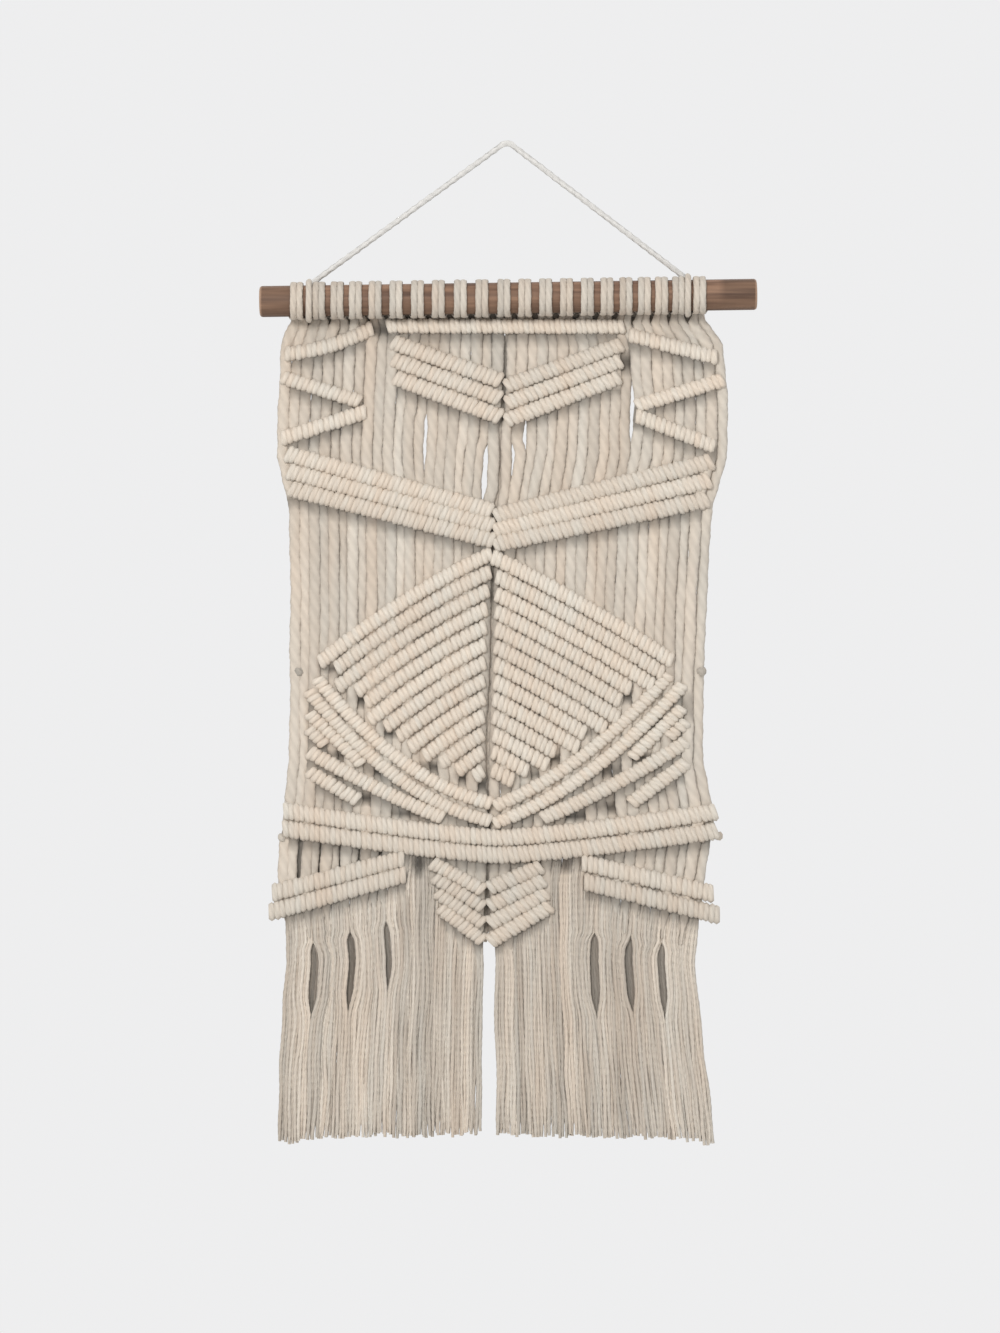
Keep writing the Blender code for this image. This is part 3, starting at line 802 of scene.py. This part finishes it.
# Lines that the cords follow, in millimetres


def mix(a, b, share):
    return a + (b - a) * share


def shares(count):
    """Even steps from 0 to 1."""
    return [step / count for step in range(count + 1)]


def smooth_step(share):
    share = min(1.0, max(0.0, share))
    return share * share * (3.0 - 2.0 * share)


def dowel_height(x):
    return DOWEL_CENTRE[1] + (x - DOWEL_CENTRE[0]) * math.tan(DOWEL_RISE)


def table_at(table, z):
    """The values of a table at a height, its rows running downwards with their z first."""
    if z >= table[0][0]:
        return table[0][1:]
    for upper, lower in zip(table, table[1:]):
        if z >= lower[0]:
            share = (upper[0] - z) / (upper[0] - lower[0])
            return tuple(mix(a, b, share) for a, b in zip(upper[1:], lower[1:]))
    return table[-1][1:]


def seam_middle(z):
    _, left_end, right_start, _ = table_at(OUTLINE, z)
    return (left_end + right_start) / 2


def seam_shade(z):
    return table_at(SEAM_SHADES, z)[0]


def even_x(strand, z):
    left, left_end, right_start, right = table_at(OUTLINE, z)
    half, place = divmod(strand, HALF_STRANDS)
    start, end = (left, left_end) if half == 0 else (right_start, right)
    return mix(start, end, (place + 0.5) / HALF_STRANDS)


def spread(z):
    """0 where the strands hang in the pairs that their heads give them, 1 in their own places."""
    return smooth_step((PAIRED_ABOVE - z) / (PAIRED_ABOVE - EVEN_BELOW))


def slot_shift(strand, z, width_of_strand):
    """How far a strand gives way to the openings beside it."""
    shift = 0.0
    for left_strand, top_z, foot_z, width, _ in SLOTS:
        opened = smooth_step((top_z + SLOT_FADE - z) / SLOT_FADE)
        opened *= smooth_step((z - foot_z + SLOT_TAIL * SLOT_OVERRUN) / SLOT_TAIL)
        distance = strand - left_strand - 0.5
        near = min(1.0, max(0.0, 1.0 - (abs(distance) - 0.5) / SLOT_REACH))
        room = even_x(left_strand + 1, z) - even_x(left_strand, z) - width_of_strand
        shift += math.copysign(max(0.0, width - room) / 2, distance) * near * opened
    return shift


def strand_x(strand, z, width_of_strand, across=0.0):
    """Middle of a strand, moved as its part that lies across strands from its middle gives way to openings."""
    head, side = divmod(strand, 2)
    paired = HEAD_X[head] + (side - 0.5) * 2 * HEAD_END[-1][0]
    return mix(paired, even_x(strand, z), spread(z)) + slot_shift(strand + across, z, width_of_strand)


def hole_depth(x, z):
    """How deep the strands lie at a place, from 0 to 1, which also sets their painted shade."""
    depth = 0.0
    if SEAM_SHADOW[1] < z < SEAM_SHADOW[0]:
        depth = SEAM_DEPTH * (1.0 - seam_shade(z)) * math.exp(-(((x - seam_middle(z)) / SEAM_REACH) ** 4))
    for hole_x, hole_z, half_width, half_height, strength in HOLES:
        far = ((x - hole_x) / half_width) ** 2 + ((z - hole_z) / half_height) ** 2
        depth = max(depth, strength * math.exp(-(far**2)))
    return depth


def row_courses(band):
    """The middle lines of a band's rows, as lists of (x, z), and half the distance between two rows."""
    group, rows, first, last, bows = band
    reach, snugness, _, fullness = ROW_TRAITS.get(group, PLAIN_ROWS)
    near, far, rows_between = SEAM_MARGINS.get(group, (END_MARGIN, END_MARGIN, 1))
    courses = []
    for row in range(rows):
        share = row / (rows - 1) if rows > 1 else 0.0
        inner_x, inner_z, outer_x, outer_z = (mix(a, b, share) for a, b in zip(first, last or first))
        farther = 1.0 + reach * (1.0 - (2.0 * share - 1.0) ** 2) / abs(outer_x - inner_x)
        outer_x, outer_z = mix(inner_x, outer_x, farther), mix(inner_z, outer_z, farther)
        length = math.hypot(outer_x - inner_x, outer_z - inner_z)
        start = mix(near, far, smooth_step(row / rows_between)) / length
        end = 1.0 - END_MARGIN / length
        course = []
        for part in shares(ROW_STEPS):
            along = mix(start, end, part)
            drop = mix(*bows, share) * (1.0 - abs(2.0 * along - 1.0) ** fullness)
            course.append((mix(inner_x, outer_x, along), mix(inner_z, outer_z, along) - drop))
        outer_part = range(2 * len(course) // 3, len(course))
        opening = [place for place in outer_part if hole_depth(*course[place]) > HOLE_EDGE]
        courses.append(course[: opening[0]] if opening else course)
    if rows == 1:
        return courses, SINGLE_ROW_HALF
    slope = abs(first[3] - first[1]) / math.hypot(first[2] - first[0], first[3] - first[1])
    pitch = max(first[1] - last[1], first[3] - last[3]) / (rows - 1) * math.sqrt(1.0 - slope**2)
    return courses, min(MOST_ROW_HALF, max(LEAST_ROW_HALF, snugness * pitch / 2))


@functools.cache
def last_courses():
    """For every band the middle line of its last row, from left to right, and its half height."""
    lines = []
    for band in ROWS:
        courses, half = row_courses(band)
        lines.append((sorted(courses[-1]), half))
    return lines


def height_at(line, x):
    """Height of a line of (x, z) at x, or None beside it."""
    if not line[0][0] <= x <= line[-1][0]:
        return None
    for a, b in zip(line, line[1:]):
        if x <= b[0]:
            return mix(a[1], b[1], (x - a[0]) / max(1e-6, b[0] - a[0]))
    return None


def row_shadow(x, z):
    """How much the last row of a band shades a place below it, from 0 to 1."""
    shadow = 0.0
    for line, half in last_courses():
        height = height_at(line, x)
        if height is not None and height > z:
            shadow = max(shadow, 1.0 - smooth_step((height - half - z) / SHADOW_LENGTH))
    return shadow


def light_left(x, z):
    """Share of the light that reaches the strands below the rows and in the openings."""
    return (1.0 - HOLE_SHADE * hole_depth(x, z)) * (1.0 - ROW_SHADOW * row_shadow(x, z))


def lowest_row(strand):
    x = even_x(strand, FIELD_FOOT)
    heights = [height_at(line, x) for line, _ in last_courses()]
    return min(height for height in heights if height is not None)


class Wander:
    """Slow random swaying, up to a size to both sides, as a sum of waves along the height."""

    def __init__(self, dice, longest, shortest, size):
        self.waves = [
            (dice.uniform(0.5, 1.0), TAU / dice.uniform(shortest, longest), dice.uniform(0, TAU))
            for _ in range(3)
        ]
        self.size = size / sum(wave[0] for wave in self.waves)

    def at(self, z):
        return self.size * sum(part * math.sin(z * rate + phase) for part, rate, phase in self.waves)


def cord_point(place, half_width, flat, shade, seed, press=0.0):
    """A point of a cord's line from sizes in millimetres, with the numbers of LINE_ATTRIBUTES."""
    return Vector(place) * MM, half_width * MM, flat, shade, seed, press


def strand_line(strand, settings, dice):
    """A strand from the bar of its head to where it comes apart."""
    head, side = divmod(strand, 2)
    axis = dowel_height(HEAD_X[head])
    seed = dice.random()
    tone = dice.uniform(*STRAND_TONES_AND_SHADE)
    head_half = settings.head_radius / MM
    full_half = settings.strand_half / MM
    round_dowel = DOWEL_RADIUS + GAP + HEAD_FLAT * head_half
    route = [(offset, y, rise, HEAD_START_PRESS) for offset, y, rise in HEAD_START]
    for degrees, offset in HEAD_TURN:
        angle = math.radians(degrees)
        y = DOWEL_Y + round_dowel * math.cos(angle)
        route.append((offset, y, -round_dowel * math.sin(angle), -angle))
    route += [(offset, y, rise, -TAU) for offset, y, rise in HEAD_END]
    line = []
    for offset, y, rise, press in route:
        place = (HEAD_X[head] + (2 * side - 1) * offset, y, axis + rise)
        line.append(cord_point(place, head_half, HEAD_FLAT, tone * HEAD_TONE, seed, press))
    layer = dice.uniform(-STRAND_LAYER, STRAND_LAYER) + (2 * side - 1) * LAYER_STEP
    sway, weave, fullness, patch = (Wander(dice, *waves) for waves in STRAND_WAVES)
    z = axis + HEAD_END[-1][2] - STRAND_STEP
    lowest = lowest_row(strand)
    while z > lowest - STRAND_TAIL:
        loose = spread(z)
        x = strand_x(strand, z, 2 * full_half) + loose * sway.at(z)
        y = loose * (weave.at(z) + layer) + HOLE_RECESS * hole_depth(x, z)
        half = mix(head_half * PAIRED_WIDTH, full_half * (1 + fullness.at(z)), loose)
        half *= 1.0 - THINNING * smooth_step((lowest + THINNING_TOP - z) / THINNING_LENGTH)
        shade = tone * (1 + patch.at(z)) * light_left(x, z)
        flat = mix(HEAD_FLAT, settings.strand_flat, loose)
        line.append(cord_point((x, y, z), half, flat, shade, seed, -TAU))
        z -= STRAND_STEP
    return line


def ply_lines(strand, settings, dice):
    """The plies of a strand, which lie side by side and loosen towards the foot of the fringe."""
    side = abs(strand + 0.5 - HALF_STRANDS) / HALF_STRANDS
    foot = FRINGE_FOOT - FRINGE_CORNER_DROP * side**4 + dice.uniform(*FRINGE_ENDS)
    full_half = settings.strand_half / MM
    sway = Wander(dice, *FRINGE_SWAY)
    top = lowest_row(strand) + PLY_RISE
    layer = dice.uniform(*FRINGE_LAYERS)
    strand_tone = dice.uniform(*FRINGE_TONES)
    patch = Wander(dice, *FRINGE_PATCH)
    lines = []
    for ply in range(settings.plies):
        place = (2 * ply + 1) / settings.plies - 1
        own = Wander(dice, *PLY_SWAY)
        depth = Wander(dice, *PLY_DEPTH)
        tone = strand_tone * dice.uniform(*PLY_TONES)
        seed = dice.random()
        radius = settings.ply_radius / MM * dice.uniform(*PLY_SIZES)
        end = foot + dice.uniform(*PLY_ENDS)
        line = []
        for share in shares(round((top - end) / PLY_STEP)):
            z = mix(top, end, share)
            apart = smooth_step((top - z) / PLY_SPREAD)
            loose = apart * mix(*PLY_LOOSENESS, share**3)
            reach = place * mix(PLY_BUNCH, full_half - PLY_MARGIN, apart)
            x = strand_x(strand, z, 2 * full_half, place / 2) + sway.at(z) + reach + loose * own.at(z)
            y = (layer + PLY_SETBACKS[ply % 2]) * apart + loose * depth.at(z)
            half = radius * (1.0 - PLY_TAPER * smooth_step((end + PLY_TIP - z) / PLY_TIP))
            shade = tone * (1 + patch.at(z)) * light_left(x, z)
            line.append(cord_point((x, y, z), half, PLY_FLAT, shade, seed))
        lines.append(line)
    return lines


def behind_line(top_z, foot_z, x_at, half_width, shade_at, seed):
    """A cord behind the others from top_z to foot_z, whose thin ends run in among them."""
    line = []
    for share in shares(round((top_z - foot_z) / BEHIND_STEP)):
        z = mix(top_z, foot_z, share)
        clear = smooth_step((top_z - z) / BEHIND_FADE) * smooth_step((z - foot_z) / BEHIND_FADE)
        place = (x_at(z), mix(BEHIND_END_Y, BACKING_Y, clear), z)
        tone = mix(BACK_SHADE, shade_at(z), clear)
        line.append(cord_point(place, half_width * mix(BEHIND_TIP, 1.0, clear), BEHIND_FLAT, tone, seed))
    return line


def slot_lines(slot, dice):
    """The loose plies behind a long opening, painted dark as the shade seen through it."""
    left_strand, top_z, foot_z, width, _ = slot
    lines = []
    for ply in range(BEHIND_PLIES):
        place = (ply + 0.5) / BEHIND_PLIES - 0.5
        own = Wander(dice, *BEHIND_SWAY)
        first_z = top_z + BEHIND_FADE + dice.uniform(*BEHIND_STARTS)
        last_z = foot_z - BEHIND_FADE - dice.uniform(*BEHIND_ENDS)
        dark_shade = BACKING_SHADE * dice.uniform(*BACKING_TONES)

        def x_at(z):
            belly = BEHIND_BELLY * math.sin(math.pi * (first_z - z) / (first_z - last_z))
            middle = (even_x(left_strand, z) + even_x(left_strand + 1, z)) / 2
            return middle + place * (width + BEHIND_MARGIN + belly) + own.at(z)

        def shade_at(z):
            return mix(dark_shade, BACK_SHADE, smooth_step(max(z - top_z, foot_z - z) / BEHIND_FADE))

        lines.append(behind_line(first_z, last_z, x_at, BEHIND_HALF, shade_at, dice.random()))
    return lines


def shade_cord_lines(dice):
    """Cord behind the long slots, behind the middle seam and below the dowel, mostly painted dark as the shade
    seen there.
    """
    lines = []
    for slot in SLOTS:
        if slot[-1]:
            lines += slot_lines(slot, dice)
    ends = (SEAM_SHADES[0][0], SEAM_SHADES[-1][0])
    for side in SEAM_CORDS:

        def x_at(z):
            return seam_middle(z) + side

        lines.append(behind_line(*ends, x_at, BACKING_HALF, seam_shade, dice.random()))
    for drop in UNDER_DOWEL:
        line = []
        for share in shares(UNDER_STEPS):
            x = mix(HEAD_X[0], HEAD_X[-1], share)
            place = (x, BACKING_Y, dowel_height(x) - drop)
            line.append(cord_point(place, BACKING_HALF, UNDER_FLAT, BACKING_SHADE, BACKING_SEED))
        lines.append(line)
    return lines


def build_rows(group, settings, material, dice):
    """The wraps of a group's rows as an object, and the lines of the cords that they hold."""
    wraps = []
    cores = []
    for band in ROWS:
        name, _, first, _, _ = band
        if name != group:
            continue
        courses, half = row_courses(band)
        side = math.copysign(1.0, first[2] - first[0])
        lean = -side * settings.wrap_lean
        for course in courses:
            tone = dice.uniform(*ROW_TONES) * ROW_TRAITS.get(group, PLAIN_ROWS)[2]
            places = [(x, settings.row_y / MM, z) for x, z in course]
            if side < 0:
                places.reverse()
            wraps.append([(Vector(place) * MM, half * MM, lean, tone) for place in places])
            seed = dice.random()
            cores.append([cord_point(place, CORE_HALF, 1.0, tone * CORE_TONE, seed) for place in places])
    inputs = {
        "Pitch": settings.wrap_pitch,
        "Cord Radius": settings.wrap_radius,
        "Seed": settings.seed + len(group),
        "Material": material,
    }
    mesh = lines_mesh(group, wraps, ("half_height", "lean", "shade"))
    tree = bpy.data.node_groups.get("wraps_along_lines") or row_tree()
    return grow(group, mesh, tree, inputs), cores


def hanger_route():
    """The hanger cord's middle line from hitch to hitch, in millimetres."""
    left, right = (Vector((x, 0.0, dowel_height(x) + HANGER_FOOT_RISE)) for _, _, x, _ in HITCHES)
    centre = Vector((0.0, 0.0, -HANGER_BEND))
    turn_left = math.atan2(centre.z - left.z, centre.x - left.x)
    turn_right = math.atan2(centre.z - right.z, right.x - centre.x)
    arc = []
    for share in shares(BEND_STEPS):
        angle = mix(math.pi / 2 + turn_left, math.pi / 2 - turn_right, share)
        arc.append(centre + HANGER_BEND * Vector((math.cos(angle), 0.0, math.sin(angle))))
    rise = [left.lerp(arc[0], share) for share in shares(HANGER_STEPS)[:-1]]
    fall = [arc[-1].lerp(right, share) for share in shares(HANGER_STEPS)[1:]]
    return rise + arc + fall


# Operators


class HANGING_OT_dowel(bpy.types.Operator):
    """Give the dowel its stained wood"""

    bl_idname = "hanging.dowel"
    bl_label = "Dowel"

    def execute(self, context):
        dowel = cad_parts["dowel"]
        dowel.data.materials.clear()
        dowel.data.materials.append(wood_material(context.scene.hanging))
        return {"FINISHED"}


class HANGING_OT_cords(bpy.types.Operator):
    """Lay the folded cords over the dowel and down through the hanging"""

    bl_idname = "hanging.cords"
    bl_label = "Cords"

    def execute(self, context):
        settings = context.scene.hanging
        dice = random.Random(settings.seed)
        material = panel_cotton(settings)
        lines = [strand_line(strand, settings, dice) for strand in range(STRANDS)]
        cords = twist_cords("cords", "strand", lines, material)
        fit(cords, "cotton_cord", *(f"cord_{number + 1:02d}" for number in range(len(HEAD_X))))
        # Cords painted dark as the shade seen behind the openings, the seam and under the dowel
        lines = shade_cord_lines(random.Random(settings.seed + 3))
        fit(twist_cords("painted_shade_cords", "strand", lines, material), "cotton_cord")
        for name, start in (("fringe_left", 0), ("fringe_right", HALF_STRANDS)):
            lines = []
            for strand in range(start, start + HALF_STRANDS):
                lines += ply_lines(strand, settings, dice)
            fit(twist_cords(name, "ply", lines, material), "cotton_cord")
        return {"FINISHED"}


class HANGING_OT_rows(bpy.types.Operator):
    """Knot the rows over the cords"""

    bl_idname = "hanging.rows"
    bl_label = "Knotted Rows"

    def execute(self, context):
        settings = context.scene.hanging
        dice = random.Random(settings.seed + 1)
        material = panel_cotton(settings)
        lines = []
        for group, nodes in ROW_NODES.items():
            rows_object, cores = build_rows(group, settings, material, dice)
            fit(rows_object, "cotton_cord", *nodes)
            lines += cores
        fit(twist_cords("holding_cords", "core", lines, material), "cotton_cord")
        return {"FINISHED"}


class HANGING_OT_hanger(bpy.types.Operator):
    """Tie the hanger cord to the dowel and lead it over the hanging point"""

    bl_idname = "hanging.hanger"
    bl_label = "Hanger Cord"

    def execute(self, context):
        settings = context.scene.hanging
        colour = settings.hanger_cotton
        material = cotton_material("hanger_cotton", colour, colour, HANGER_BUMP)
        route = hanger_route()
        line = [cord_point(place, HANGER_RADIUS, 1.0, 1.0, HANGER_SEED) for place in route]
        hanger = twist_cords("hanger", "hanger", [line], material)
        fit(hanger, "hanger_cord_cotton", "hanger_cord")
        path = [place * MM for place in route]
        length = sum((b - a).length for a, b in zip(path, path[1:]))
        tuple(path[0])
        reach = DOWEL_RADIUS + GAP + HANGER_RADIUS
        for name, node, x, way in HITCHES:
            turns = []
            for share in shares(HITCH_STEPS):
                angle = math.radians(mix(*HITCH_ANGLES, share))
                shift = way * HITCH_SHIFT * math.sin(angle / 2)
                rise = reach * math.sin(angle)
                place = (x + shift, DOWEL_Y + reach * math.cos(angle), dowel_height(x) + rise)
                turns.append(cord_point(place, HANGER_RADIUS, 1.0, HITCH_TONE, HITCH_SEED))
            fit(twist_cords(name, "hitch", [turns], panel_cotton(settings)), "hanger_cord_cotton", node)
        return {"FINISHED"}


class HANGING_OT_knots(bpy.types.Operator):
    """Tie the small knots at the ends of the holding cords"""

    bl_idname = "hanging.knots"
    bl_label = "End Knots"

    def execute(self, context):
        settings = context.scene.hanging
        dice = random.Random(settings.seed + 2)
        lines = []
        for x, z, half, tone in END_KNOTS:
            seed = dice.random()
            for lean, size in KNOT_LOOPS:
                loop = []
                for step in range(KNOT_STEPS + 2):
                    angle = TAU * step / KNOT_STEPS
                    depth, height = math.sin(angle) * math.cos(lean), math.sin(angle) * math.sin(lean)
                    across = (half - KNOT_INSET) * size * Vector((math.cos(angle), depth, height))
                    bend = KNOT_BEND * math.sin(2 * angle + lean)
                    place = Vector((x, KNOT_Y, z + bend)) + across
                    loop.append(cord_point(place, KNOT_CORD, 1.0, tone, seed))
                lines.append(loop)
        fit(twist_cords("end_knots", "knot", lines, panel_cotton(settings)), "cotton_cord")
        return {"FINISHED"}


class HANGING_OT_panel(bpy.types.Operator):
    bl_idname = "hanging.panel"
    bl_label = "Panel"

    def execute(self, context):
        return {"FINISHED"}


class HANGING_OT_stage(bpy.types.Operator):
    """Set up the floor, the lights, the pale surroundings and the camera"""

    bl_idname = "hanging.stage"
    bl_label = "Stage"

    def execute(self, context):
        scene = context.scene
        scene.view_settings.view_transform = "Standard"
        world = bpy.data.worlds.new("pale_room")
        world.use_nodes = True
        background = world.node_tree.nodes["Background"]
        background.inputs["Color"].default_value = ROOM_COLOUR
        background.inputs["Strength"].default_value = 1.0
        scene.world = world

        place = (0.0, 0.0, FLOOR_Z)
        bpy.ops.mesh.primitive_circle_add(vertices=64, radius=FLOOR_RADIUS, fill_type="NGON", location=place)
        floor = context.active_object
        floor.name = "floor"
        floor.data.transform(floor.matrix_world)
        floor.location = (0.0, 0.0, 0.0)
        paint, graph, shader = new_shader("floor_paint", 0.9)
        graph.feed(shader, {"Base Color": FLOOR_COLOUR})
        floor.data.materials.append(paint)

        for name, place, size, power in LIGHTS:
            lamp = bpy.data.lights.new(name, "AREA")
            lamp.size = size
            lamp.energy = power
            holder = add_object(name, lamp)
            holder.location = place
            towards = Vector(LIT_PLACE) - Vector(place)
            holder.rotation_euler = towards.to_track_quat("-Z", "Y").to_euler()

        camera = bpy.data.cameras.new("camera")
        camera.sensor_fit = "VERTICAL"
        camera.sensor_height = SENSOR_HEIGHT
        camera.lens = SENSOR_HEIGHT * CAMERA_DISTANCE / FRAME_HEIGHT
        scene.camera = add_object("camera", camera)
        scene.camera.location = (FRAME_CENTRE[0], -CAMERA_DISTANCE, FRAME_CENTRE[1])
        scene.camera.rotation_euler = (math.pi / 2, 0.0, 0.0)
        return {"FINISHED"}


class HANGING_PT_panel(bpy.types.Panel):
    """Sizes, colours and steps of the wall hanging"""

    bl_idname = "HANGING_PT_panel"
    bl_label = "Macrame Wall Hanging"
    bl_space_type = "VIEW_3D"
    bl_region_type = "UI"
    bl_category = "Macrame"

    def draw(self, context):
        settings = context.scene.hanging
        for name in settings.bl_rna.properties.keys():
            if name not in ("rna_type", "name"):
                self.layout.prop(settings, name)
        for step in STEPS:
            self.layout.operator(step.bl_idname)


STEPS = (
    HANGING_OT_dowel,
    HANGING_OT_cords,
    HANGING_OT_rows,
    HANGING_OT_hanger,
    HANGING_OT_knots,
    HANGING_OT_panel,
    HANGING_OT_stage,
)
CLASSES = (HangingSettings, *STEPS, HANGING_PT_panel)


def register():
    for cls in CLASSES:
        bpy.utils.register_class(cls)
    bpy.types.Scene.hanging = PointerProperty(type=HangingSettings)


def unregister():
    del bpy.types.Scene.hanging
    for cls in reversed(CLASSES):
        bpy.utils.unregister_class(cls)


def main():
    register()
    bpy.ops.hanging.dowel()
    bpy.ops.hanging.cords()
    bpy.ops.hanging.rows()
    bpy.ops.hanging.hanger()
    bpy.ops.hanging.knots()
    bpy.ops.hanging.panel()
    bpy.ops.hanging.stage()


if __name__ == "__main__":
    main()
